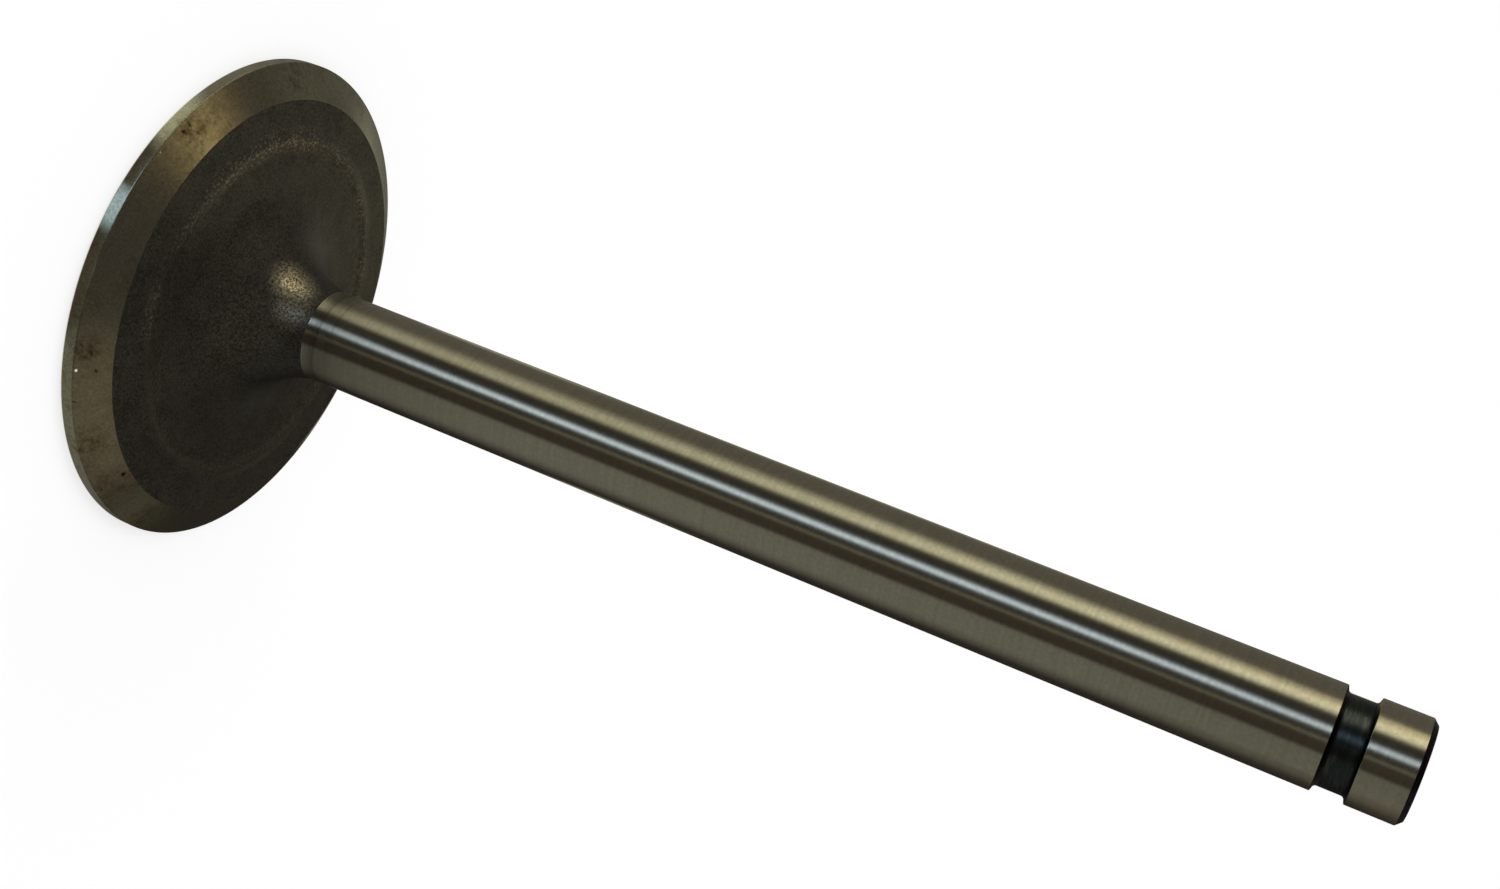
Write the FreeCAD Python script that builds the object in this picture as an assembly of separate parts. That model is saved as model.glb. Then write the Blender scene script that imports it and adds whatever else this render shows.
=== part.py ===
import FreeCAD
import Part
import math
import os

# Engine valve, one solid of revolution about Z, all sizes in mm.
# The combustion face is at z = 0 and the stem rises along +Z to the tip.

# Head
head_diameter = 51.4
head_edge_round = 0.3
margin_height = 1.5
seat_width = 3.4
seat_angle = 29.0
seat_inner_edge_round = 0.15

# Underhead, between the seat face and the stem
underhead_angle = 2.5
neck_fillet = 9.5
ring_inset = 4.1
ring_width = 2.2
ring_height = 0.25
ring_round = 1.5

# Stem
stem_diameter = 9.45
overall_length = 121.9
tip_chamfer = 0.5

# Groove for the spring keepers, near the tip
groove_to_tip = 4.65
groove_width = 2.85
groove_depth = 0.6
groove_wall_run = 0.2
groove_floor_fillet = 0.3
groove_edge_round = 0.08


def point(radius, height):
    return FreeCAD.Vector(radius, 0, height)


def rounded_corner(before, corner, after, radius):
    # Start, middle and end of the arc that rounds one corner of the section
    to_before = (before - corner).normalize()
    to_after = (after - corner).normalize()
    half_angle = to_before.getAngle(to_after) / 2
    reach = radius / math.tan(half_angle)
    bisector = (to_before + to_after).normalize()
    centre = corner + bisector * (radius / math.sin(half_angle))
    start = corner + to_before * reach
    middle = centre - bisector * radius
    end = corner + to_after * reach
    return start, middle, end


def section_wire(corners):
    # Joins the corners in order into a closed wire and rounds each one that has a radius
    edges = []
    first = None
    last = None
    count = len(corners)
    for index in range(count):
        corner, radius = corners[index]
        start = corner
        end = corner
        arc = None
        if radius > 0:
            before = corners[index - 1][0]
            after = corners[(index + 1) % count][0]
            start, middle, end = rounded_corner(before, corner, after, radius)
            arc = Part.Arc(start, middle, end).toShape()
        if last is None:
            first = start
        else:
            edges.append(Part.makeLine(last, start))
        if arc is not None:
            edges.append(arc)
        last = end
    edges.append(Part.makeLine(last, first))
    return Part.Wire(edges)


# Radii and heights that follow from the sizes above
head_radius = head_diameter / 2
stem_radius = stem_diameter / 2
floor_radius = stem_radius - groove_depth
seat_inner_radius = head_radius - seat_width
seat_top = margin_height + seat_width * math.tan(math.radians(seat_angle))
underhead_slope = math.tan(math.radians(underhead_angle))


def underhead_height(radius):
    return seat_top + (seat_inner_radius - radius) * underhead_slope


ring_radius = seat_inner_radius - ring_inset
ring_outside = ring_radius + ring_width / 2
ring_inside = ring_radius - ring_width / 2
ring_crest = underhead_height(ring_radius) + ring_height
groove_end = overall_length - groove_to_tip
groove_start = groove_end - groove_width

# The neck fillet ends before it runs over the ring
neck_room = (ring_inside - stem_radius) / math.cos(math.radians(underhead_angle))
neck_half_angle = math.radians(90 + underhead_angle) / 2
neck_radius = min(neck_fillet, neck_room * math.tan(neck_half_angle))

# Head, from the middle of the combustion face out to the rim and in along the seat
head_corners = [
    (point(0, 0), 0),
    (point(head_radius, 0), head_edge_round),
    (point(head_radius, margin_height), 0),
    (point(seat_inner_radius, seat_top), seat_inner_edge_round),
]

# Low raised ring of the forging, then the large fillet that runs into the stem
underhead_corners = [
    (point(ring_outside, underhead_height(ring_outside)), ring_round),
    (point(ring_radius, ring_crest), ring_round),
    (point(ring_inside, underhead_height(ring_inside)), ring_round),
    (point(stem_radius, underhead_height(stem_radius)), neck_radius),
]

# Keeper groove with leaning walls and filleted floor corners
groove_corners = [
    (point(stem_radius, groove_start), groove_edge_round),
    (point(floor_radius, groove_start + groove_wall_run), groove_floor_fillet),
    (point(floor_radius, groove_end - groove_wall_run), groove_floor_fillet),
    (point(stem_radius, groove_end), groove_edge_round),
]

# Chamfered tip
tip_corners = [
    (point(stem_radius, overall_length - tip_chamfer), 0),
    (point(stem_radius - tip_chamfer, overall_length), 0),
    (point(0, overall_length), 0),
]

section = Part.Face(section_wire(head_corners + underhead_corners + groove_corners + tip_corners))
valve = section.revolve(FreeCAD.Vector(0, 0, 0), FreeCAD.Vector(0, 0, 1), 360)

os.makedirs("parts", exist_ok=True)
valve.exportStep("parts/valve.step")
print("valve volume", round(valve.Volume, 1), "mm3, faces", len(valve.Faces), ", valid", valve.isValid())
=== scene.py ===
import math

import bpy
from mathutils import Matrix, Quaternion, Vector


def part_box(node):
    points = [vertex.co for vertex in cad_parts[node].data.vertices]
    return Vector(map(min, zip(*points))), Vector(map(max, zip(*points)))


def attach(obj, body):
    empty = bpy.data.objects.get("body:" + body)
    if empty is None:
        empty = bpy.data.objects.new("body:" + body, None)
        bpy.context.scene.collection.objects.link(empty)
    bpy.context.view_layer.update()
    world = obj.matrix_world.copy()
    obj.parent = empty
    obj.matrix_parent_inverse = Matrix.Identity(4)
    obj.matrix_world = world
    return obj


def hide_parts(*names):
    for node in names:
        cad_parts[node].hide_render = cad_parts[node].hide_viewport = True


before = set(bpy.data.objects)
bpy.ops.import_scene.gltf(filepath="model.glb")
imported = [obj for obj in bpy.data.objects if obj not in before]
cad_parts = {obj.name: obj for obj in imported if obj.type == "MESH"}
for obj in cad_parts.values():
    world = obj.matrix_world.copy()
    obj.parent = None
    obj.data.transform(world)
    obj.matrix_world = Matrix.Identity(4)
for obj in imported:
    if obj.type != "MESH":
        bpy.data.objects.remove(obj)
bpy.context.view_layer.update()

mm = 0.001
print("frame loaded")


def linearColour(hexColour):
    # sRGB hex to the linear values that light is reckoned in
    values = []
    for start in (1, 3, 5):
        share = int(hexColour[start:start + 2], 16) / 255
        values.append(share / 12.92 if share <= 0.04045 else ((share + 0.055) / 1.055) ** 2.4)
    return (*values, 1.0)


def addNode(tree, kind, options=None, inputs=None):
    # One node: options are its own settings, inputs take a value or the socket that feeds them
    node = tree.nodes.new(kind)
    for name, value in (options or {}).items():
        setattr(node, name, value)
    for name, value in (inputs or {}).items():
        socket = node.inputs[name]
        if isinstance(value, bpy.types.NodeSocket):
            tree.links.new(value, socket)
        else:
            socket.default_value = value
    return node


def mixColours(tree, share, first, second, blend="MIX"):
    # Takes hex colours or sockets. Inputs 6 and 7 and output 2 are the colours of a mix node
    colours = [linearColour(colour) if isinstance(colour, str) else colour for colour in (first, second)]
    return addNode(tree, "ShaderNodeMix", {"data_type": "RGBA", "blend_type": blend}, {
        "Factor": share, 6: colours[0], 7: colours[1]}).outputs[2]


def grainNoise(tree, place, size, detail, roughness=0.5):
    # Noise from 0 to 1 with grains of a size in mm
    return addNode(tree, "ShaderNodeTexNoise", inputs={
        "Vector": place, "Scale": 1000 / size, "Detail": detail, "Roughness": roughness}).outputs["Fac"]


def turningNoise(tree, place, changes, pitch):
    # Noise from 0 to 1 drawn out into marks round the axis: changes along them for each metre, pitch in mm
    marksAt = addNode(tree, "ShaderNodeMapping", inputs={
        "Vector": place, "Scale": (changes, changes, 1000 / pitch)})
    return addNode(tree, "ShaderNodeTexNoise", inputs={
        "Vector": marksAt.outputs[0], "Scale": 1.0, "Detail": 3.0, "Roughness": 0.6}).outputs["Fac"]


def newMaterial(name):
    material = bpy.data.materials.new(name)
    material.use_nodes = True
    material.node_tree.nodes.clear()
    return material, material.node_tree


def addMesh(name, points, faces, material):
    mesh = bpy.data.meshes.new(name)
    mesh.from_pydata(points, [], faces)
    mesh.materials.append(material)
    piece = bpy.data.objects.new(name, mesh)
    bpy.context.scene.collection.objects.link(piece)
    return piece


# Valve section, with lengths in mm and angles in degrees. The sizes are the solid's, and the corner of
# the seat and the ends of the chamfer are rounded as well
valve = {
    "headEdgeRound": 0.3,
    "marginHeight": 1.5,
    "seatCornerRound": 0.12,
    "seatWidth": 3.4,
    "seatAngle": 29.0,
    "seatInnerRound": 0.15,
    "underheadAngle": 2.5,
    "neckFillet": 9.5,
    "ringInset": 4.1,
    "ringWidth": 2.2,
    "ringHeight": 0.25,
    "ringRound": 1.5,
    "groundStart": 12.2,        # height where the ground stem meets the forged neck
    "stemRadius": 4.725,
    "grooveToTip": 4.65,
    "grooveWidth": 2.85,
    "grooveDepth": 0.6,
    "grooveWallRun": 0.2,
    "grooveFloorRound": 0.3,
    "grooveEdgeRound": 0.08,
    "tipChamfer": 0.5,
    "chamferRound": 0.04,
    "stepsRound": 440,
    "mergeDistance": 0.002,     # closes the turned grid on itself
    "inside": 0.002,            # keeps every point within the solid's own box
    "forgingDepth": 0.05,       # of the granular skin left by the die
    "forgingGrain": 0.8,
    "forgingFade": 0.5,         # run over which both die out towards machined faces
    "swellDepth": 0.06,         # of the slow waves under it
    "swellSize": 4.0,
    "seed": 3.0,
}

boxLow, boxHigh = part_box("valve")
headRadius = min(boxHigh.x, boxHigh.y, -boxLow.x, -boxLow.y) / mm - valve["inside"]
seatInner = headRadius - valve["seatWidth"]
tipHeight = boxHigh.z / mm - valve["inside"]


def seatHeight(radius):
    # Height of the seat at a radius, both in mm
    return valve["marginHeight"] + (headRadius - radius) * math.tan(math.radians(valve["seatAngle"]))


def underheadHeight(radius):
    # Height of the underhead's slope at a radius, both in mm
    slope = math.tan(math.radians(valve["underheadAngle"]))
    return seatHeight(seatInner) + (seatInner - radius) * slope


def forgedHeight(radius):
    # Height of the neck fillet at a radius, both in mm, and of its foot at every larger one
    fillet = valve["neckFillet"]
    filletMiddle = valve["stemRadius"] + fillet
    inwards = max(0.0, filletMiddle - radius)
    return underheadHeight(filletMiddle) + fillet - math.sqrt(fillet ** 2 - inwards ** 2)


# Finishes of the valve. Colours are the bare metal or scale, before any light, and sizes are in mm
finish = {
    "groundSteel": "#BBB4A0",
    "groundRoughness": 0.24,
    "groundStretch": 0.75,      # how far the grinding draws highlights out along the stem
    "groundShade": (0.88, 1.08),    # darkest and lightest of its marks
    "groundBump": 0.1,
    "groundMottle": 1 / 3,
    "grindPitch": 0.35,         # real marks are about 0.05, drawn coarser so that they show
    "grindChanges": 120.0,      # of a mark for each metre along it
    "seatSteel": "#AEAB92",
    "seatRoughness": 0.24,
    "seatStain": "#6A5236",
    "stainRoughness": 0.38,
    "seatPit": "#1F1710",
    # painted glint of the nick and the fleck
    "seatGlintPaint": "#EDEBE4",
    "stainSize": 4.5,
    "mottleSize": 0.7,
    "seatGrain": 0.27,
    "wander": 0.6,              # how far the edges of pits and stains wander about
    "wanderSize": 0.4,
    "forgedScale": "#2E2B24",
    # lighter rubbed metal, partly painted sheen
    "forgedLight": "#545046",
    "forgedWornAndSheen": "#BAAE92",
    "forgedGrain": 0.22,
    "forgedPatch": 2.5,
    "sparkleSize": 0.3,         # of the scattered sparks on the ring
    "glitterSize": 0.22,        # of the finer ones on the neck
    "wornRing": 18.2,           # radius of the ring
    "wornReach": 1.9,           # how far to each side of it the wear goes
    "wornLeast": 0.06,          # wear of the ring outside its worn patches
    "scaleMetallic": 0.75,
    "scaleRoughness": 0.4,
    "wornRoughness": 0.25,
    "grooveBlack": "#3D4244",
    "grooveStreak": "#575E53",
    "grooveRoughness": 0.27,
    "groovePlace": 115.825,     # height of its middle
    "cornerShadeTone": 0.35,         # of the painted shade in both corners of its floor
    "cornerFrom": 0.85,         # from its middle, where they start
    "cornerTo": 1.2,
    "tipBlack": "#2A2534",
    "tipStreak": "#4A4356",
    "tipRoughness": 0.35,
    "streakPitch": 0.2,
    "streakChanges": 650.0,     # of a streak for each metre along it
    "turnedSteel": "#A9A496",
    "turnedRoughness": 0.35,
    "turnedPitch": 0.6,
}


# Height in mm and tone of the stem there: a painted highlight on the edge where grinding began and painted
# shade just past it, then two faint turned marks, each with the plain metal before and after it
neckTones = {
    "paintedEdgeHighlight": (12.2, 1.35),
    "edgeShade": (12.36, 0.84),
    "afterEdge": (12.6, 0.95),
    "beforeFirst": (13.36, 0.95),
    "firstMark": (13.52, 0.76),
    "afterFirst": (13.68, 1.04),
    "beforeSecond": (14.86, 1.0),
    "secondMark": (15.0, 0.82),
    "afterSecond": (15.14, 1.0),
}

# Marks on the seat, among them glints painted near white, and worn patches of the forging, placed most
# where the light falls and so partly painted highlight, as azimuth, radius in mm, size in mm and strength
seatPits = {
    "first": (-30.5, 25.05, 0.42, 0.95),
    "second": (-32.8, 25.0, 0.34, 0.8),
    "third": (-30.8, 24.75, 0.3, 0.75),
    "fourth": (21.8, 25.2, 0.26, 0.6),
    "fifth": (23.8, 24.25, 0.26, 0.7),
    "sixth": (28.0, 23.7, 0.3, 0.75),
    "seventh": (35.0, 25.5, 0.24, 0.7),
    "eighth": (61.2, 22.95, 0.38, 0.95),
    "ninth": (62.2, 25.15, 0.3, 0.7),
}
seatStains = {
    "upper": (-32.5, 24.6, 2.6, 0.9),
    "green": (-38.2, 24.3, 1.8, 0.5),
    "lower": (22.8, 24.9, 2.6, 0.9),
    "faint": (13.0, 24.65, 1.2, 0.5),
    "wide": (47.2, 24.9, 3.2, 0.8),
    "last": (60.0, 24.6, 2.4, 0.6),
}
# Glints painted as near-white matt spots
seatPaintedGlints = {
    "nick": (27.5, 25.42, 0.22, 1.0),
    "fleck": (-23.2, 25.4, 0.13, 0.3),
}
ringWearAndSheen = {
    "left": (-16.0, 18.0, 5.0, 0.5),
    "upperLeft": (-36.0, 17.8, 6.0, 0.8),
    "upper": (-56.0, 18.0, 6.0, 0.9),
    "top": (-74.0, 18.1, 6.0, 0.9),
    "back": (-98.0, 18.3, 6.5, 0.5),
    "far": (-127.0, 17.7, 8.0, 0.5),
    "end": (-156.0, 17.7, 8.0, 0.5),
    "lower": (13.0, 18.1, 4.5, 0.45),
}
# the neck's patches lie where its gold and bluish highlights fall, as painted highlight
neckWearAndHighlights = {
    "gold": (-38.0, 5.8, 3.2, 1.0),
    "below": (-10.0, 5.3, 2.8, 0.6),
    "foot": (15.0, 7.0, 5.0, 0.1),
}


def markShare(tree, place, marks, heightAt):
    # Share of the surface that the marks take, full in the inner fifth of each and 0 at its edge
    share = 0.0
    for azimuth, radius, size, strength in marks.values():
        angle = math.radians(azimuth)
        middle = (radius * math.cos(angle) * mm, radius * math.sin(angle) * mm, heightAt(radius) * mm)
        away = addNode(tree, "ShaderNodeVectorMath", {"operation": "DISTANCE"}, {0: place, 1: middle})
        near = addNode(tree, "ShaderNodeMapRange", {"interpolation_type": "SMOOTHSTEP"}, {
            "Value": away.outputs["Value"], "From Min": 0.2 * size * mm, "From Max": size * mm,
            "To Min": strength, "To Max": 0.0})
        share = addNode(tree, "ShaderNodeMath", {"operation": "MAXIMUM"}, {
            0: near.outputs[0], 1: share}).outputs[0]
    return share


def makeGroundSteel():
    # Hardened valve steel, centreless ground: bright, with fine marks that run round the stem
    material, tree = newMaterial("valveSteelCentrelessGround")
    place = addNode(tree, "ShaderNodeTexCoord").outputs["Object"]
    marks = turningNoise(tree, place, finish["grindChanges"], finish["grindPitch"])
    mottle = grainNoise(tree, place, finish["groundMottle"], 2.0)
    both = addNode(tree, "ShaderNodeMath", {"operation": "MULTIPLY"}, {0: marks, 1: mottle})
    darkest, lightest = finish["groundShade"]
    shade = addNode(tree, "ShaderNodeMapRange", inputs={
        "Value": both.outputs[0], "From Min": 0.1, "From Max": 0.4, "To Min": darkest, "To Max": lightest})

    # Tones by height, with the painted highlight and shade at the edge of the grinding
    height = addNode(tree, "ShaderNodeSeparateXYZ", inputs={0: place}).outputs["Z"]
    low = neckTones["paintedEdgeHighlight"][0]
    high = neckTones["afterSecond"][0]
    byHeight = addNode(tree, "ShaderNodeMapRange", inputs={
        "Value": height, "From Min": low * mm, "From Max": high * mm})
    tones = addNode(tree, "ShaderNodeValToRGB", inputs={0: byHeight.outputs[0]})
    stops = tones.color_ramp.elements
    for number, (stopHeight, tone) in enumerate(neckTones.values()):
        stop = stops[0] if number == 0 else stops.new((stopHeight - low) / (high - low))
        stop.color = (tone, tone, tone, 1.0)
    toned = addNode(tree, "ShaderNodeMath", {"operation": "MULTIPLY"}, {
        0: shade.outputs[0], 1: tones.outputs["Color"]})
    colour = mixColours(tree, 1.0, finish["groundSteel"], toned.outputs[0], "MULTIPLY")
    bump = addNode(tree, "ShaderNodeBump", inputs={
        "Strength": finish["groundBump"], "Distance": 0.02 * mm, "Height": marks})
    tangent = addNode(tree, "ShaderNodeTangent", {"direction_type": "RADIAL", "axis": "Z"})
    metal = addNode(tree, "ShaderNodeBsdfPrincipled", inputs={
        "Base Color": colour, "Metallic": 1.0, "Roughness": finish["groundRoughness"],
        "Anisotropic": finish["groundStretch"], "Anisotropic Rotation": 0.25,
        "Tangent": tangent.outputs[0], "Normal": bump.outputs[0]})
    addNode(tree, "ShaderNodeOutputMaterial", inputs={"Surface": metal.outputs[0]})
    return material


def makeSeatSteel():
    # The same steel turned on the seat and margin: satin, with mottled brown stains, a few dark pits,
    # and a nick and a fleck painted near white and matt as their glints
    material, tree = newMaterial("valveSteelTurnedStained")
    place = addNode(tree, "ShaderNodeTexCoord").outputs["Object"]
    wander = addNode(tree, "ShaderNodeTexNoise", inputs={
        "Vector": place, "Scale": 1000 / finish["wanderSize"], "Detail": 2.0})
    shift = addNode(tree, "ShaderNodeVectorMath", {"operation": "MULTIPLY_ADD"}, {
        0: wander.outputs["Color"], 1: (finish["wander"] * mm,) * 3, 2: (-finish["wander"] / 2 * mm,) * 3})
    ragged = addNode(tree, "ShaderNodeVectorMath", {"operation": "ADD"}, {
        0: place, 1: shift.outputs[0]}).outputs[0]

    broad = grainNoise(tree, place, finish["stainSize"], 4.0, 0.6)
    broadShare = addNode(tree, "ShaderNodeMapRange", inputs={
        "Value": broad, "From Min": 0.44, "From Max": 0.68, "To Max": 0.7})
    stained = addNode(tree, "ShaderNodeMath", {"operation": "MAXIMUM"}, {
        0: broadShare.outputs[0], 1: markShare(tree, ragged, seatStains, seatHeight)})
    mottle = grainNoise(tree, place, finish["mottleSize"], 4.0, 0.65)
    mottleShare = addNode(tree, "ShaderNodeMapRange", inputs={
        "Value": mottle, "From Min": 0.4, "From Max": 0.66, "To Min": 0.15, "To Max": 0.95})
    stainShare = addNode(tree, "ShaderNodeMath", {"operation": "MULTIPLY"}, {
        0: stained.outputs[0], 1: mottleShare.outputs[0]}).outputs[0]
    colour = mixColours(tree, stainShare, finish["seatSteel"], finish["seatStain"])

    grain = grainNoise(tree, place, finish["seatGrain"], 2.0)
    grainTone = addNode(tree, "ShaderNodeMapRange", inputs={
        "Value": grain, "From Min": 0.3, "From Max": 0.7, "To Min": 0.82, "To Max": 1.18})
    colour = mixColours(tree, 1.0, colour, grainTone.outputs[0], "MULTIPLY")

    pits = markShare(tree, ragged, seatPits, seatHeight)
    colour = mixColours(tree, pits, colour, finish["seatPit"])
    # Painted glints: the nick and the fleck are painted near white and made matt
    paintedGlints = markShare(tree, place, seatPaintedGlints, seatHeight)
    colour = mixColours(tree, paintedGlints, colour, finish["seatGlintPaint"])
    metallic = addNode(tree, "ShaderNodeMapRange", inputs={"Value": paintedGlints, "To Min": 1.0, "To Max": 0.0})
    roughness = addNode(tree, "ShaderNodeMapRange", inputs={
        "Value": stainShare, "To Min": finish["seatRoughness"], "To Max": finish["stainRoughness"]})
    bump = addNode(tree, "ShaderNodeBump", inputs={
        "Strength": 0.05, "Distance": 0.03 * mm, "Height": mottle})
    metal = addNode(tree, "ShaderNodeBsdfPrincipled", inputs={
        "Base Color": colour, "Metallic": metallic.outputs[0],
        "Roughness": roughness.outputs[0], "Normal": bump.outputs[0]})
    addNode(tree, "ShaderNodeOutputMaterial", inputs={"Surface": metal.outputs[0]})
    return material


def makeForgedScale():
    # Hot forged steel under dark scale: fine dull grain, rubbed to lighter metal on the ring and up the
    # neck, where it glitters. The rubbing lies most where the light falls, so it is partly painted sheen
    # and highlight
    material, tree = newMaterial("valveSteelForgedScale")
    place = addNode(tree, "ShaderNodeTexCoord").outputs["Object"]
    flat = addNode(tree, "ShaderNodeVectorMath", {"operation": "MULTIPLY"}, {0: place, 1: (1.0, 1.0, 0.0)})
    radius = addNode(tree, "ShaderNodeVectorMath", {"operation": "LENGTH"}, {
        0: flat.outputs[0]}).outputs["Value"]
    grain = grainNoise(tree, place, finish["forgedGrain"], 3.0, 0.6)
    patches = grainNoise(tree, place, finish["forgedPatch"], 4.0, 0.6)
    tone = addNode(tree, "ShaderNodeMath", {"operation": "MULTIPLY_ADD"}, {0: patches, 1: 0.3, 2: grain})
    toneShare = addNode(tree, "ShaderNodeMapRange", inputs={
        "Value": tone.outputs[0], "From Min": 0.49, "From Max": 0.82})
    scale = mixColours(tree, toneShare.outputs[0], finish["forgedScale"], finish["forgedLight"])

    # Rubbed share of the ring: a band, stronger in places, most on the lit side, so partly painted sheen.
    # Only its highest grains are rubbed, so it is a band of scattered sparks, partly painted glints
    offRing = addNode(tree, "ShaderNodeMath", {"operation": "SUBTRACT"}, {
        0: radius, 1: finish["wornRing"] * mm})
    offRing = addNode(tree, "ShaderNodeMath", {"operation": "ABSOLUTE"}, {0: offRing.outputs[0]})
    onRing = addNode(tree, "ShaderNodeMapRange", {"interpolation_type": "SMOOTHSTEP"}, {
        "Value": offRing.outputs[0], "From Min": 0.0, "From Max": finish["wornReach"] * mm,
        "To Min": 1.0, "To Max": 0.0})
    ringPatches = addNode(tree, "ShaderNodeMath", {"operation": "MAXIMUM"}, {
        0: markShare(tree, place, ringWearAndSheen, forgedHeight), 1: finish["wornLeast"]})
    ringWornAndSheen = addNode(tree, "ShaderNodeMath", {"operation": "MULTIPLY"}, {
        0: onRing.outputs[0], 1: ringPatches.outputs[0]})
    sparkle = grainNoise(tree, place, finish["sparkleSize"], 4.0, 0.65)
    sparks = addNode(tree, "ShaderNodeMapRange", inputs={
        "Value": sparkle, "From Min": 0.52, "From Max": 0.68, "To Min": 0.06, "To Max": 1.1})

    # Rubbed share of the neck: patches set where its highlights fall, partly painted highlight, broken up
    # by a finer grain
    glitter = grainNoise(tree, place, finish["glitterSize"], 4.0, 0.7)
    glitterShare = addNode(tree, "ShaderNodeMapRange", inputs={
        "Value": glitter, "From Min": 0.43, "From Max": 0.63, "To Min": 0.12, "To Max": 1.2})
    neckWornAndHighlight = addNode(tree, "ShaderNodeMath", {"operation": "MULTIPLY"}, {
        0: markShare(tree, place, neckWearAndHighlights, forgedHeight), 1: glitterShare.outputs[0]})
    wornAndSheen = addNode(tree, "ShaderNodeMath", {"operation": "MULTIPLY_ADD", "use_clamp": True}, {
        0: ringWornAndSheen.outputs[0], 1: sparks.outputs[0], 2: neckWornAndHighlight.outputs[0]}).outputs[0]
    colour = mixColours(tree, wornAndSheen, scale, finish["forgedWornAndSheen"])
    metallic = addNode(tree, "ShaderNodeMapRange", inputs={
        "Value": wornAndSheen, "To Min": finish["scaleMetallic"], "To Max": 1.0})
    roughness = addNode(tree, "ShaderNodeMapRange", inputs={
        "Value": wornAndSheen, "To Min": finish["scaleRoughness"], "To Max": finish["wornRoughness"]})
    bump = addNode(tree, "ShaderNodeBump", inputs={
        "Strength": 0.5, "Distance": 0.06 * mm, "Height": grain})
    metal = addNode(tree, "ShaderNodeBsdfPrincipled", inputs={
        "Base Color": colour, "Metallic": metallic.outputs[0],
        "Roughness": roughness.outputs[0], "Normal": bump.outputs[0]})
    addNode(tree, "ShaderNodeOutputMaterial", inputs={"Surface": metal.outputs[0]})
    return material


def makeBlackened(name, hexColour, streakColour, roughness, cornerShadeTone):
    # Blackened steel: a dark oxide skin that glints along its turning marks
    material, tree = newMaterial(name)
    place = addNode(tree, "ShaderNodeTexCoord").outputs["Object"]
    marks = turningNoise(tree, place, finish["streakChanges"], finish["streakPitch"])
    streaks = addNode(tree, "ShaderNodeMapRange", inputs={
        "Value": marks, "From Min": 0.5, "From Max": 0.72})
    streaked = mixColours(tree, streaks.outputs[0], hexColour, streakColour)

    # Painted shade: darker in both corners of the groove floor
    height = addNode(tree, "ShaderNodeSeparateXYZ", inputs={0: place}).outputs["Z"]
    fromMiddle = addNode(tree, "ShaderNodeMath", {"operation": "SUBTRACT"}, {
        0: height, 1: finish["groovePlace"] * mm})
    fromMiddle = addNode(tree, "ShaderNodeMath", {"operation": "ABSOLUTE"}, {0: fromMiddle.outputs[0]})
    # the corners of the floor are darkened as painted shade
    corner = addNode(tree, "ShaderNodeMapRange", {"interpolation_type": "SMOOTHSTEP"}, {
        "Value": fromMiddle.outputs[0], "From Min": finish["cornerFrom"] * mm,
        "From Max": finish["cornerTo"] * mm, "To Min": 1.0, "To Max": cornerShadeTone})
    colour = mixColours(tree, 1.0, streaked, corner.outputs[0], "MULTIPLY")
    bump = addNode(tree, "ShaderNodeBump", inputs={
        "Strength": 0.6, "Distance": 0.04 * mm, "Height": marks})
    metal = addNode(tree, "ShaderNodeBsdfPrincipled", inputs={
        "Base Color": colour, "Metallic": 1.0, "Roughness": roughness,
        "Normal": bump.outputs[0]})
    addNode(tree, "ShaderNodeOutputMaterial", inputs={"Surface": metal.outputs[0]})
    return material


def makeTurnedSteel():
    # Face-turned steel of the combustion face: plain, with faint rings about the axis
    material, tree = newMaterial("valveSteelFaceTurned")
    place = addNode(tree, "ShaderNodeTexCoord").outputs["Object"]
    scale = 1000 * math.tau / (20 * finish["turnedPitch"])     # the wave turns 20 radians in each unit
    rings = addNode(tree, "ShaderNodeTexWave", {"wave_type": "RINGS", "rings_direction": "Z"}, {
        "Vector": place, "Scale": scale, "Distortion": 0.4})
    bump = addNode(tree, "ShaderNodeBump", inputs={
        "Strength": 0.2, "Distance": 0.02 * mm, "Height": rings.outputs["Fac"]})
    metal = addNode(tree, "ShaderNodeBsdfPrincipled", inputs={
        "Base Color": linearColour(finish["turnedSteel"]), "Metallic": 1.0,
        "Roughness": finish["turnedRoughness"], "Normal": bump.outputs[0]})
    addNode(tree, "ShaderNodeOutputMaterial", inputs={"Surface": metal.outputs[0]})
    return material


# The order of the zones is the order of the numbers that the section carries
zones = ["combustionFace", "seat", "forged", "ground", "groove", "chamfer", "tip"]
zoneMaterials = {
    "combustionFace": makeTurnedSteel(),
    "seat": makeSeatSteel(),
    "forged": makeForgedScale(),
    "ground": makeGroundSteel(),
    "groove": makeBlackened(
        "valveSteelGrooveBlackened", finish["grooveBlack"], finish["grooveStreak"],
        finish["grooveRoughness"], finish["cornerShadeTone"]),
    "chamfer": makeBlackened(
        "valveSteelTipHardened", finish["tipBlack"], finish["tipStreak"], finish["tipRoughness"], 1.0),
}
zoneMaterials["tip"] = zoneMaterials["combustionFace"]
print("materials made")


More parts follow.
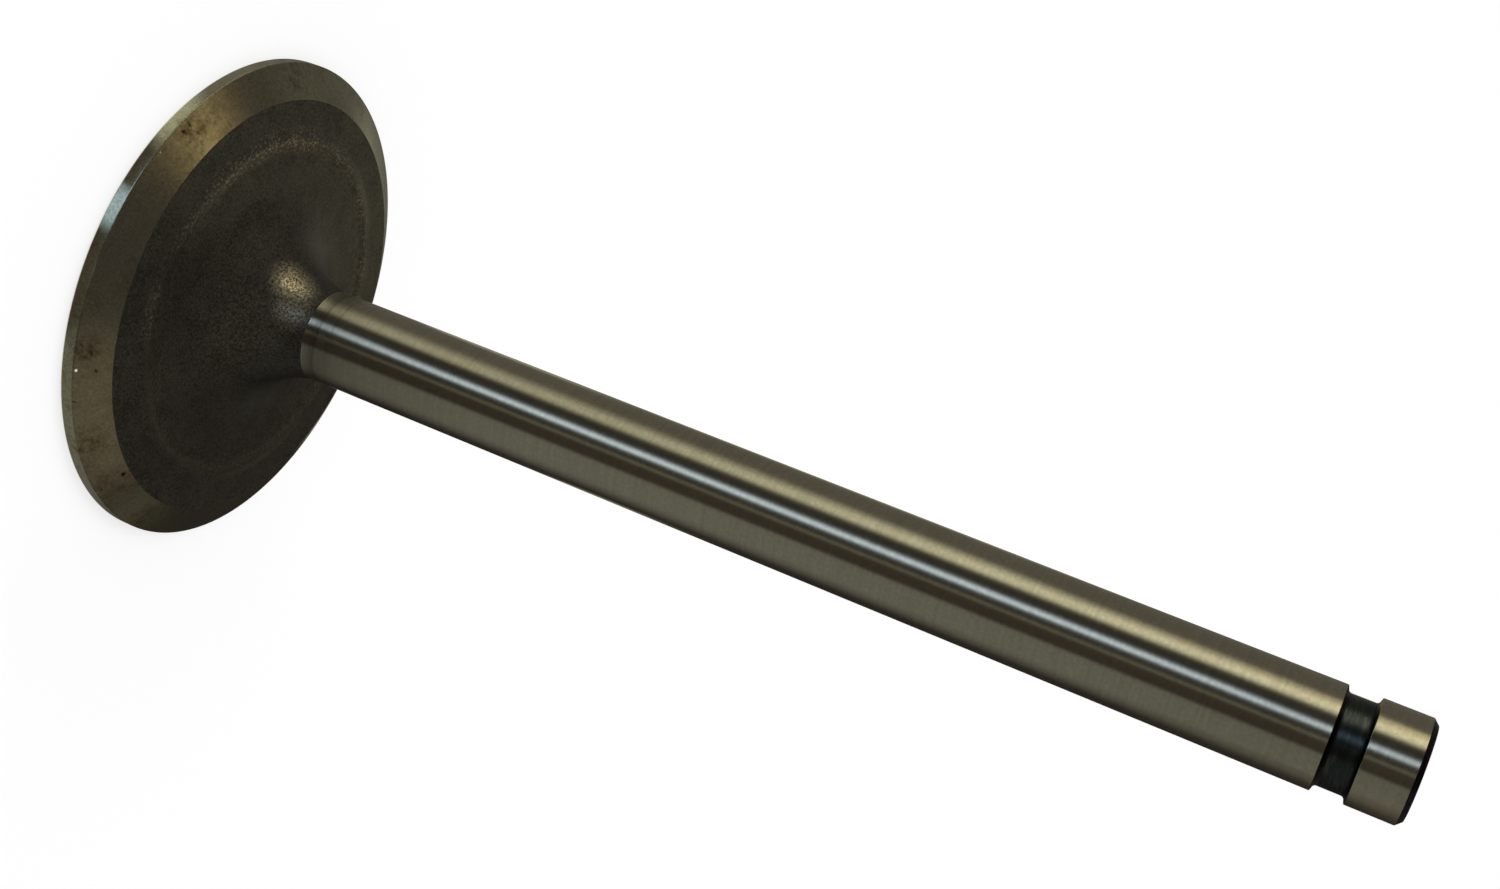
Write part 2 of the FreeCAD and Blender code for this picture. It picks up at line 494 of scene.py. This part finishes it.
def roundedSection(corners):
    # Each corner is (radius, height, rounding, steps, zone after it).
    # Returns each point with the zone after it and whether the stretch after it is part of an arc
    path = []
    for index, (radius, height, rounding, steps, zone) in enumerate(corners):
        corner = Vector((radius, height))
        if rounding == 0:
            path.append((corner, zone, False))
            continue
        toBefore = (Vector(corners[index - 1][:2]) - corner).normalized()
        toAfter = (Vector(corners[index + 1][:2]) - corner).normalized()
        half = toBefore.angle(toAfter) / 2
        middle = (toBefore + toAfter).normalized()
        centre = corner + middle * (rounding / math.sin(half))
        start = corner + toBefore * (rounding / math.tan(half)) - centre
        end = corner + toAfter * (rounding / math.tan(half)) - centre
        turn = start.angle_signed(end)
        for step in range(steps + 1):
            angle = -turn * step / steps
            spoke = Vector((
                start.x * math.cos(angle) - start.y * math.sin(angle),
                start.x * math.sin(angle) + start.y * math.cos(angle)))
            path.append((centre + spoke, zone, step < steps))
    return path


# Gap between the points of the section in each zone, and from each corner to the point that supports it
spacing = {
    "combustionFace": 2.5,
    "seat": 0.4,
    "forged": 0.34,
    "ground": 3.0,
    "groove": 0.5,
    "chamfer": 0.3,
    "tip": 1.2,
    "support": 0.04,
}


def spacedSection(path):
    # Fills straight stretches with points, and puts one close to each end so that shading stays flat
    support = spacing["support"]
    filled = []
    for (start, zone, curved), following in zip(path, path[1:]):
        end = following[0]
        filled.append((start, zone))
        length = (end - start).length
        if curved or length < 4 * support:
            continue
        inner = length - 2 * support
        count = max(1, round(inner / spacing[zone]))
        for step in range(count + 1):
            filled.append((start.lerp(end, (support + inner * step / count) / length), zone))
    filled.append(path[-1][:2])
    return filled


def valveCorners():
    ring = seatInner - valve["ringInset"]
    ringOut = ring + valve["ringWidth"] / 2
    ringIn = ring - valve["ringWidth"] / 2
    stem = valve["stemRadius"]
    floor = stem - valve["grooveDepth"]
    grooveEnd = tipHeight - valve["grooveToTip"]
    grooveStart = grooveEnd - valve["grooveWidth"]
    run = valve["grooveWallRun"]
    chamfer = valve["tipChamfer"]
    return [
        (0.0, 0.0, 0, 0, "combustionFace"),
        (headRadius, 0.0, valve["headEdgeRound"], 8, "seat"),
        (headRadius, valve["marginHeight"], valve["seatCornerRound"], 3, "seat"),
        (seatInner, seatHeight(seatInner), valve["seatInnerRound"], 4, "forged"),
        (ringOut, underheadHeight(ringOut), valve["ringRound"], 4, "forged"),
        (ring, underheadHeight(ring) + valve["ringHeight"], valve["ringRound"], 6, "forged"),
        (ringIn, underheadHeight(ringIn), valve["ringRound"], 4, "forged"),
        (stem, underheadHeight(stem), valve["neckFillet"], 44, "forged"),
        (stem, grooveStart, valve["grooveEdgeRound"], 5, "groove"),
        (floor, grooveStart + run, valve["grooveFloorRound"], 6, "groove"),
        (floor, grooveEnd - run, valve["grooveFloorRound"], 6, "groove"),
        (stem, grooveEnd, valve["grooveEdgeRound"], 5, "ground"),
        (stem, tipHeight - chamfer, valve["chamferRound"], 3, "chamfer"),
        (stem - chamfer, tipHeight, valve["chamferRound"], 3, "tip"),
        (0.0, tipHeight, 0, 0, "tip"),
    ]


def splitGround(path):
    # The ground finish starts at its own height, part of the way up the neck fillet
    start = valve["groundStart"]
    split = []
    for (point, zone, curved), following in zip(path, path[1:] + path[-1:]):
        after = following[0]
        if zone == "forged" and point.y >= start:
            zone = "ground"
        split.append((point, zone, curved))
        if zone == "forged" and point.y < start < after.y:
            share = (start - point.y) / (after.y - point.y)
            split.append((point.lerp(after, share), "ground", curved))
    return split


def forgedShare(point, zone):
    # 0 on machined stretches and 1 on the forging, with a short run between
    if zone != "forged":
        return 0.0
    fromSeat = (seatInner - point.x) / valve["forgingFade"]
    fromGround = (valve["groundStart"] - point.y) / valve["forgingFade"]
    return max(0.0, min(1.0, fromSeat, fromGround))


def makeSection():
    path = spacedSection(splitGround(roundedSection(valveCorners())))
    mesh = bpy.data.meshes.new("valveSection")
    points = [(point.x * mm, 0.0, point.y * mm) for point, zone in path]
    edges = [(index, index + 1) for index in range(len(points) - 1)]
    mesh.from_pydata(points, edges, [])
    zoneOf = mesh.attributes.new("zone", "INT", "EDGE")
    for index in range(len(edges)):
        zoneOf.data[index].value = zones.index(path[index][1])
    share = mesh.attributes.new("forgedShare", "FLOAT", "POINT")
    for index, (point, zone) in enumerate(path):
        share.data[index].value = forgedShare(point, zone)
    return mesh, len(points)


def makeRevolveTree(wanted):
    # Turns the section once round Z on a grid, roughens the forged rows and hands out the materials
    tree = bpy.data.node_groups.new("revolveValve", "GeometryNodeTree")
    tree.interface.new_socket("Section", in_out="INPUT", socket_type="NodeSocketGeometry")
    sockets = {}
    for name, value in wanted.items():      # a whole number gets an input for whole numbers
        kind = "NodeSocketInt" if isinstance(value, int) else "NodeSocketFloat"
        socket = tree.interface.new_socket(name, in_out="INPUT", socket_type=kind)
        socket.default_value = value
        sockets[name] = socket.identifier
    tree.interface.new_socket("Valve", in_out="OUTPUT", socket_type="NodeSocketGeometry")
    entry = addNode(tree, "NodeGroupInput").outputs
    place = addNode(tree, "GeometryNodeInputPosition").outputs[0]

    def math2(operation, first, second):
        return addNode(tree, "ShaderNodeMath", {"operation": operation}, {0: first, 1: second}).outputs[0]

    def named(name, kind):
        return addNode(tree, "GeometryNodeInputNamedAttribute", {"data_type": kind}, {
            "Name": name}).outputs[0]

    def stored(geometry, name, kind, domain, value):
        return addNode(tree, "GeometryNodeStoreNamedAttribute", {"data_type": kind, "domain": domain}, {
            "Geometry": geometry, "Name": name, "Value": value}).outputs[0]

    def ofSection(value, kind, domain, row):
        # What the section has at a row
        return addNode(tree, "GeometryNodeSampleIndex", {"data_type": kind, "domain": domain}, {
            "Geometry": entry["Section"], "Value": value, "Index": row}).outputs[0]

    def unevenness(size, depth, detail):
        # Rise and fall about the surface, half of the depth each way
        noise = addNode(tree, "ShaderNodeTexNoise", {"noise_dimensions": "4D"}, {
            "Vector": place, "W": entry["Seed"], "Scale": math2("DIVIDE", 1.0, size), "Detail": detail})
        return math2("MULTIPLY", math2("SUBTRACT", noise.outputs[0], 0.5), depth)

    # Row and column of every point of the grid, and the row of every face
    columns = math2("ADD", entry["Steps Round"], 1.0)
    grid = addNode(tree, "GeometryNodeMeshGrid", inputs={
        "Vertices X": entry["Section Points"], "Vertices Y": columns}).outputs
    index = addNode(tree, "GeometryNodeInputIndex").outputs[0]
    row = math2("FLOOR", math2("DIVIDE", math2("ADD", index, 0.5), columns), 0.0)
    column = math2("SUBTRACT", index, math2("MULTIPLY", row, columns))
    faceRow = math2("FLOOR", math2("DIVIDE", math2("ADD", index, 0.5), entry["Steps Round"]), 0.0)

    # The grid takes over the section's zones and shares, row by row
    share = ofSection(named("forgedShare", "FLOAT"), "FLOAT", "POINT", row)
    zone = ofSection(named("zone", "INT"), "INT", "EDGE", faceRow)
    last = stored(grid["Mesh"], "UVMap", "FLOAT2", "CORNER", grid["UV Map"])
    last = stored(last, "zone", "INT", "FACE", zone)
    last = stored(last, "forgedShare", "FLOAT", "POINT", share)

    # Revolve
    angle = math2("MULTIPLY", math2("DIVIDE", column, entry["Steps Round"]), math.tau)
    part = addNode(tree, "ShaderNodeSeparateXYZ", inputs={
        0: ofSection(place, "FLOAT_VECTOR", "POINT", row)}).outputs
    turned = addNode(tree, "ShaderNodeCombineXYZ", inputs={
        "X": math2("MULTIPLY", part["X"], math2("COSINE", angle, 0.0)),
        "Y": math2("MULTIPLY", part["X"], math2("SINE", angle, 0.0)),
        "Z": part["Z"]})
    last = addNode(tree, "GeometryNodeSetPosition", inputs={
        "Geometry": last, "Position": turned.outputs[0]}).outputs[0]
    last = addNode(tree, "GeometryNodeMergeByDistance", inputs={
        "Geometry": last, "Distance": entry["Merge Distance"]}).outputs[0]

    # Granular skin and slow waves of the forging, along the surface's own normal
    grain = unevenness(entry["Forging Grain"], entry["Forging Depth"], 2.0)
    swell = unevenness(entry["Swell Size"], entry["Swell Depth"], 1.0)
    rise = math2("MULTIPLY", math2("ADD", grain, swell), named("forgedShare", "FLOAT"))
    along = addNode(tree, "ShaderNodeVectorMath", {"operation": "SCALE"}, {
        0: addNode(tree, "GeometryNodeInputNormal").outputs[0], "Scale": rise})
    last = addNode(tree, "GeometryNodeSetPosition", inputs={
        "Geometry": last, "Offset": along.outputs[0]}).outputs[0]
    last = addNode(tree, "GeometryNodeSetShadeSmooth", inputs={"Geometry": last}).outputs[0]
    last = addNode(tree, "GeometryNodeRealizeInstances", inputs={"Geometry": last}).outputs[0]

    # One material for each zone. Inputs 2 and 3 are the whole numbers that are compared
    savedZone = named("zone", "INT")
    for number, name in enumerate(zones):
        inZone = addNode(tree, "FunctionNodeCompare", {"data_type": "INT", "operation": "EQUAL"}, {
            2: savedZone, 3: number})
        last = addNode(tree, "GeometryNodeSetMaterial", inputs={
            "Geometry": last, "Selection": inZone.outputs[0], "Material": zoneMaterials[name]}).outputs[0]
    addNode(tree, "NodeGroupOutput", inputs={0: last})
    return tree, sockets


def makeValve():
    section, sectionCount = makeSection()
    wanted = {
        "Section Points": sectionCount,
        "Steps Round": valve["stepsRound"],
        "Merge Distance": valve["mergeDistance"] * mm,
        "Forging Depth": valve["forgingDepth"] * mm,
        "Forging Grain": valve["forgingGrain"] * mm,
        "Swell Depth": valve["swellDepth"] * mm,
        "Swell Size": valve["swellSize"] * mm,
        "Seed": valve["seed"],
    }
    tree, sockets = makeRevolveTree(wanted)
    source = bpy.data.objects.new("valveSource", section)
    bpy.context.scene.collection.objects.link(source)
    modifier = source.modifiers.new("revolve", "NODES")
    modifier.node_group = tree
    for name, value in wanted.items():
        modifier[sockets[name]] = value
    evaluated = source.evaluated_get(bpy.context.evaluated_depsgraph_get())
    mesh = bpy.data.meshes.new_from_object(evaluated)
    bpy.data.objects.remove(source)
    mesh.name = "engineValve"
    piece = bpy.data.objects.new("engineValve", mesh)
    bpy.context.scene.collection.objects.link(piece)
    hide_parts("valve")
    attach(piece, "root")
    print("valve made,", len(mesh.polygons), "faces,", len(mesh.materials), "materials")


makeValve()


# Floor and daylight, with the floor's size in metres and angles in degrees. White is what the camera
# sees of both, and the floor keeps a soft shadow
studio = {
    "floorSize": 6.0,
    "floorColour": "#A0A0A0",
    "floorGlow": 0.655,         # shown to the camera and to gloss only, so that the floor reads as white
    "daylight": 0.8,
    "lampLevel": 0.2,           # what the lamp adds on a level surface
    "lampAzimuth": -80.0,
    "lampHeight": 52.0,         # above the horizon
    "lampSpread": 50.0,
    "lampColour": "#FFFFFF",
}


def seenRays(tree):
    # 1 for camera, glossy and transmission rays
    rays = addNode(tree, "ShaderNodeLightPath").outputs
    first = addNode(tree, "ShaderNodeMath", {"operation": "MAXIMUM"}, {
        0: rays["Is Camera Ray"], 1: rays["Is Glossy Ray"]})
    return addNode(tree, "ShaderNodeMath", {"operation": "MAXIMUM"}, {
        0: first.outputs[0], 1: rays["Is Transmission Ray"]}).outputs[0]


def makeFloor():
    # Matt grey paper with a glow of its own, so that it reads as white and still takes a soft shadow
    material, tree = newMaterial("floorMattPaper")
    paper = addNode(tree, "ShaderNodeBsdfDiffuse", inputs={"Color": linearColour(studio["floorColour"])})
    strength = addNode(tree, "ShaderNodeMath", {"operation": "MULTIPLY"}, {
        0: seenRays(tree), 1: studio["floorGlow"]})
    glow = addNode(tree, "ShaderNodeEmission", inputs={"Strength": strength.outputs[0]})
    both = addNode(tree, "ShaderNodeAddShader", inputs={0: paper.outputs[0], 1: glow.outputs[0]})
    addNode(tree, "ShaderNodeOutputMaterial", inputs={"Surface": both.outputs[0]})
    half = studio["floorSize"] / 2
    corners = [(-half, -half, 0), (half, -half, 0), (half, half, 0), (-half, half, 0)]
    addMesh("floor", corners, [(0, 1, 2, 3)], material)


def makeDaylight():
    world = bpy.data.worlds.new("softDaylight")
    world.use_nodes = True
    tree = world.node_tree
    tree.nodes.clear()
    strength = addNode(tree, "ShaderNodeMapRange", inputs={
        "Value": seenRays(tree), "To Min": studio["daylight"], "To Max": 1.0})
    white = addNode(tree, "ShaderNodeBackground", inputs={
        "Color": (1.0, 1.0, 1.0, 1.0), "Strength": strength.outputs[0]})
    addNode(tree, "ShaderNodeOutputWorld", inputs={"Surface": white.outputs[0]})
    bpy.context.scene.world = world


def makeLamp():
    lamp = bpy.data.lights.new("softLamp", "SUN")
    height = math.radians(studio["lampHeight"])
    azimuth = math.radians(studio["lampAzimuth"])
    lamp.energy = studio["lampLevel"] * math.pi / math.sin(height)
    lamp.angle = math.radians(studio["lampSpread"])
    lamp.color = linearColour(studio["lampColour"])[:3]
    holder = bpy.data.objects.new("softLamp", lamp)
    towards = Vector((
        math.cos(azimuth) * math.cos(height), math.sin(azimuth) * math.cos(height), math.sin(height)))
    holder.rotation_euler = towards.to_track_quat("Z", "Y").to_euler()
    holder.visible_glossy = False   # the cards below are its reflection
    bpy.context.scene.collection.objects.link(holder)


makeFloor()
makeDaylight()
makeLamp()
print("floor and light made")


# Cards round the valve that only its gloss can see, as a photographer sets black and white boards.
# Azimuth 0 is the camera's side and 90 its right. from and to are azimuths in degrees, and softFrom and
# softTo are the faded edges inside them. A card with an inner radius runs from there along the floor to
# its wall and, if it has a top, up to that. A card with none stands at its wall from foot to top.
# softFoot and softTop are its faded ends. All lengths are in mm. strength is 1 where none is given, rise
# is how much the light grows from the start of the card to its end, and cover is how dense it is
cards = {
    # round the rim, for the margin, which mirrors the floor beside it
    "rimBase": {"from": -180, "to": 180, "inner": 25.72, "wall": 28.2, "colour": "#5C5750"},
    "rimRight": {"from": 16, "to": 84, "softFrom": 9, "softTo": 34, "inner": 25.72, "wall": 28.2,
                 "colour": "#8A8983"},
    "rimLeft": {"from": -112, "to": -34, "softFrom": 70, "softTo": 6, "inner": 25.72, "wall": 28.2,
                "colour": "#8C8780"},
    "rimGold": {"from": -45, "to": -23, "softFrom": 9, "softTo": 7, "inner": 25.72, "wall": 28.2,
                "colour": "#D6D6C6", "strength": 1.05},
    "rimWindow": {"from": -15, "to": -2, "softFrom": 3, "softTo": 5, "inner": 25.72, "wall": 28.2,
                  "colour": "#BEDCFF", "strength": 1.35},
    "rimBack": {"from": 70, "to": 236, "softFrom": 30, "softTo": 26, "inner": 25.72, "wall": 28.2,
                "colour": "#403D39"},
    # the low tent that the stem mirrors, dark, with boards and a strip of daylight
    "lowTent": {"from": -180, "to": 180, "inner": 28.2, "wall": 600, "top": 350, "colour": "#35322F"},
    "greyWall": {"from": 33, "to": 137, "softFrom": 8, "softTo": 50, "inner": 28.2, "wall": 590,
                 "top": 260, "softTop": 70, "colour": "#81847F"},
    "blackFlag": {"from": 145, "to": 186, "softFrom": 18, "softTo": 10, "inner": 28.2, "wall": 580,
                  "top": 140, "colour": "#2E2C2B"},
    "thinLine": {"from": 3, "to": 13, "softFrom": 3, "softTo": 3, "inner": 28.2, "wall": 570, "top": 350,
                 "colour": "#7A7A6C"},
    "windowStrip": {"from": -25.6, "to": -8, "softFrom": 10, "softTo": 5, "inner": 28.2, "wall": 560,
                    "top": 250, "softTop": 70, "colour": "#CFE4FF", "strength": 1.8},
    "oliveWall": {"from": -176, "to": -70, "softFrom": 16, "softTo": 16, "inner": 28.2, "wall": 550,
                  "top": 350, "colour": "#6B6962"},
    "warmBoard": {"from": -93, "to": -43.5, "softFrom": 30, "softTo": 14, "inner": 28.2, "wall": 540,
                  "top": 350, "colour": "#EDEDD8", "strength": 0.62, "rise": 1.0},
    # brown between the thin line and the grey wall
    "brownGap": {"from": 11, "to": 35, "softFrom": 6, "softTo": 8, "inner": 28.2, "wall": 535,
                 "top": 350, "colour": "#463F38"},
    # the gold and the grey both narrow towards the tip
    "warmFlag": {"from": -96, "to": -64, "softFrom": 8, "softTo": 14, "wall": 530, "foot": 40,
                 "top": 160, "softFoot": 60, "softTop": 4, "colour": "#6B6962", "cover": 0.55},
    "greyFlag": {"from": 84, "to": 150, "softFrom": 16, "softTo": 8, "wall": 525, "foot": 40, "top": 160,
                 "softFoot": 60, "softTop": 4, "colour": "#35322F", "cover": 0.35},
    # a board close behind, for the back of the seat and the gloss of the forging
    "rearBoard": {"from": -188, "to": -146, "softFrom": 16, "softTo": 14, "wall": 80.0, "foot": 1.0,
                  "top": 100.0, "softFoot": 24.0, "softTop": 40.0, "colour": "#A39D84"},
    # brighter at the top of one end of it, and a low one beside that end
    "rearHigh": {"from": -187, "to": -164, "softFrom": 6, "softTo": 10, "wall": 82.0, "foot": 58.0,
                 "top": 112.0, "softFoot": 12.0, "softTop": 24.0, "colour": "#A39D84", "strength": 1.5},
    "rearSide": {"from": 144, "to": 172, "softFrom": 8, "softTo": 12, "wall": 84.0, "foot": 5.0,
                 "top": 32.0, "softFoot": 5.0, "softTop": 14.0, "colour": "#8A8776"},
    # shade on the floor near the head
    "nearShade": {"from": -34, "to": 170, "softFrom": 16, "softTo": 20, "inner": 28.2, "wall": 80.0,
                  "softTop": 50.0, "colour": "#000000", "cover": 0.36},
    # low board behind, which the far side of the seat mirrors
    "rearLow": {"from": -166, "to": -136, "softFrom": 10, "softTo": 14, "inner": 45.0, "wall": 78.0,
                "top": 16.0, "softTop": 12.0, "colour": "#B2AE9C"},
    # daylight on the floor by the neck
    "windowNear": {"from": -27, "to": -9, "softFrom": 6, "softTo": 6, "inner": 28.2, "wall": 48.0,
                   "softTop": 14.0, "colour": "#CFE4FF", "strength": 1.2},
    # light floor behind the rim, for the far end of the seat
    "rimRear": {"from": 150, "to": 182, "softFrom": 14, "softTo": 14, "inner": 28.2, "wall": 34.0,
                "softTop": 2.5, "colour": "#B4B1AA"},
    # above the stem's view, for the neck
    "warmHigh": {"from": -88, "to": -54, "softFrom": 10, "softTo": 10, "wall": 535, "foot": 156,
                 "top": 260, "softFoot": 16, "softTop": 60, "colour": "#E8DBAE", "strength": 2.3},
    # far behind on the right, a lighter board and a dark one below it, for the underhead
    "rearRight": {"from": 126, "to": 153, "softFrom": 10, "softTo": 8, "wall": 575, "foot": 172,
                  "top": 300, "softTop": 60, "colour": "#6A665A"},
    "landShade": {"from": 108, "to": 152, "softFrom": 14, "softTo": 8, "wall": 565, "foot": 118,
                  "top": 172, "softFoot": 14, "softTop": 10, "colour": "#2E2C2B"},
    # overhead, for the seat, with gold on the left and brown on the right
    "highTent": {"from": -180, "to": 180, "wall": 600, "foot": 350, "top": 900, "colour": "#4F4A48"},
    "highLeft": {"from": -117, "to": -95, "softFrom": 10, "softTo": 8, "wall": 250, "foot": 230,
                 "top": 700, "softFoot": 150, "softTop": 120, "colour": "#BBA780", "strength": 2.5},
    "highRight": {"from": 62, "to": 140, "softFrom": 20, "softTo": 20, "wall": 250, "foot": 90,
                  "top": 850, "softFoot": 120, "softTop": 250, "colour": "#7C7368"},
}

# Turn of each facet of a card in degrees, and height above the floor of the first card and from each
# card to the next, so that no two lie in one plane
cardBuild = {"facet": 3, "lift": 0.02, "apart": 0.01}


def fadeNear(tree, place, reach, last):
    # Multiplies a share that grows from 0 to 1 over the reach
    ramp = addNode(tree, "ShaderNodeMapRange", {"interpolation_type": "SMOOTHSTEP"}, {
        "Value": place, "From Max": reach})
    return addNode(tree, "ShaderNodeMath", {"operation": "MULTIPLY"}, {
        0: ramp.outputs[0], 1: last}).outputs[0]


def makeCardMaterial(name, card, span, length):
    # A board that glows evenly in place of a lit one, faded at its edges
    material, tree = newMaterial(name + "Board")
    across = addNode(tree, "ShaderNodeUVMap", {"uv_map": "UVMap"}).outputs[0]
    part = addNode(tree, "ShaderNodeSeparateXYZ", inputs={0: across}).outputs
    share = card.get("cover", 1.0)
    for axis, fromStart, fromEnd, size in (
            ("X", "softFrom", "softTo", span), ("Y", "softFoot", "softTop", length)):
        if fromStart in card:
            share = fadeNear(tree, part[axis], card[fromStart] / size, share)
        if fromEnd in card:
            back = addNode(tree, "ShaderNodeMath", {"operation": "SUBTRACT"}, {0: 1.0, 1: part[axis]})
            share = fadeNear(tree, back.outputs[0], card[fromEnd] / size, share)
    strength = addNode(tree, "ShaderNodeMath", {"operation": "MULTIPLY_ADD"}, {
        0: part["Y"], 1: card.get("rise", 0.0), 2: card.get("strength", 1.0)})
    glow = addNode(tree, "ShaderNodeEmission", inputs={
        "Color": linearColour(card["colour"]), "Strength": strength.outputs[0]})
    clear = addNode(tree, "ShaderNodeBsdfTransparent")
    shader = addNode(tree, "ShaderNodeMixShader", inputs={
        "Fac": share, 1: clear.outputs[0], 2: glow.outputs[0]})
    addNode(tree, "ShaderNodeOutputMaterial", inputs={"Surface": shader.outputs[0]})
    return material


def hideFromAllButGloss(board):
    board.visible_camera = False
    board.visible_diffuse = False
    board.visible_transmission = False
    board.visible_shadow = False


def makeCard(name, card, lift):
    if "inner" in card:
        rows = [(card["inner"], lift), (card["wall"], lift)]
    else:
        rows = [(card["wall"], card["foot"])]
    if "top" in card:
        rows.append((card["wall"], card["top"]))
    along = [0.0]
    for before, after in zip(rows, rows[1:]):
        along.append(along[-1] + math.dist(before, after))
    span = card["to"] - card["from"]
    count = max(4, math.ceil(span / cardBuild["facet"]))
    points = []
    places = []
    for step in range(count + 1):
        azimuth = math.radians(card["from"] + span * step / count)
        for (radius, height), distance in zip(rows, along):
            points.append((radius * math.cos(azimuth) * mm, radius * math.sin(azimuth) * mm, height * mm))
            places.append((step / count, distance / along[-1]))
    faces = []
    for step in range(count):
        for row in range(len(rows) - 1):
            corner = step * len(rows) + row
            faces.append((corner, corner + len(rows), corner + len(rows) + 1, corner + 1))
    board = addMesh(name, points, faces, makeCardMaterial(name, card, span, along[-1]))
    layer = board.data.uv_layers.new(name="UVMap")
    for loop in board.data.loops:
        layer.data[loop.index].uv = places[loop.vertex_index]
    hideFromAllButGloss(board)


for order, (cardName, cardValues) in enumerate(cards.items()):
    makeCard(cardName, cardValues, cardBuild["lift"] + cardBuild["apart"] * order)


# Ceiling of the tent
ceiling = {"radius": 600, "height": 900, "colour": "#4D4947"}


def makeCeiling():
    # Grey board that glows in place of a lit one
    material, tree = newMaterial("ceilingBoard")
    glow = addNode(tree, "ShaderNodeEmission", inputs={"Color": linearColour(ceiling["colour"])})
    addNode(tree, "ShaderNodeOutputMaterial", inputs={"Surface": glow.outputs[0]})
    half = ceiling["radius"] * mm
    height = ceiling["height"] * mm
    corners = [(-half, -half, height), (half, -half, height), (half, half, height), (-half, half, height)]
    hideFromAllButGloss(addMesh("ceiling", corners, [(0, 1, 2, 3)], material))


makeCeiling()
print("cards placed")


# Camera where the photograph was taken from, with the valve lying across the picture
photoCamera = {
    "place": (173.107, 0.0, 111.3),
    "aim": (0.0, -6.612, 45.165),
    "roll": 111.086,
    "sensor": 36.0,
    "lens": 46.23,
    "shiftX": 0.07714,
    "shiftY": -0.04,
    "clip": (0.01, 20.0),       # metres
}


def makeCamera():
    data = bpy.data.cameras.new("photoCamera")
    data.sensor_width = photoCamera["sensor"]
    data.lens = photoCamera["lens"]
    data.shift_x = photoCamera["shiftX"]
    data.shift_y = photoCamera["shiftY"]
    data.clip_start, data.clip_end = photoCamera["clip"]
    camera = bpy.data.objects.new("photoCamera", data)
    place = Vector(photoCamera["place"]) * mm
    aim = Vector(photoCamera["aim"]) * mm
    level = (aim - place).to_track_quat("-Z", "Y")
    camera.location = place
    camera.rotation_mode = "QUATERNION"
    camera.rotation_quaternion = level @ Quaternion((0, 0, 1), math.radians(photoCamera["roll"]))
    bpy.context.scene.collection.objects.link(camera)
    bpy.context.scene.camera = camera


makeCamera()
bpy.context.scene.view_settings.view_transform = "Standard"
print("camera set")
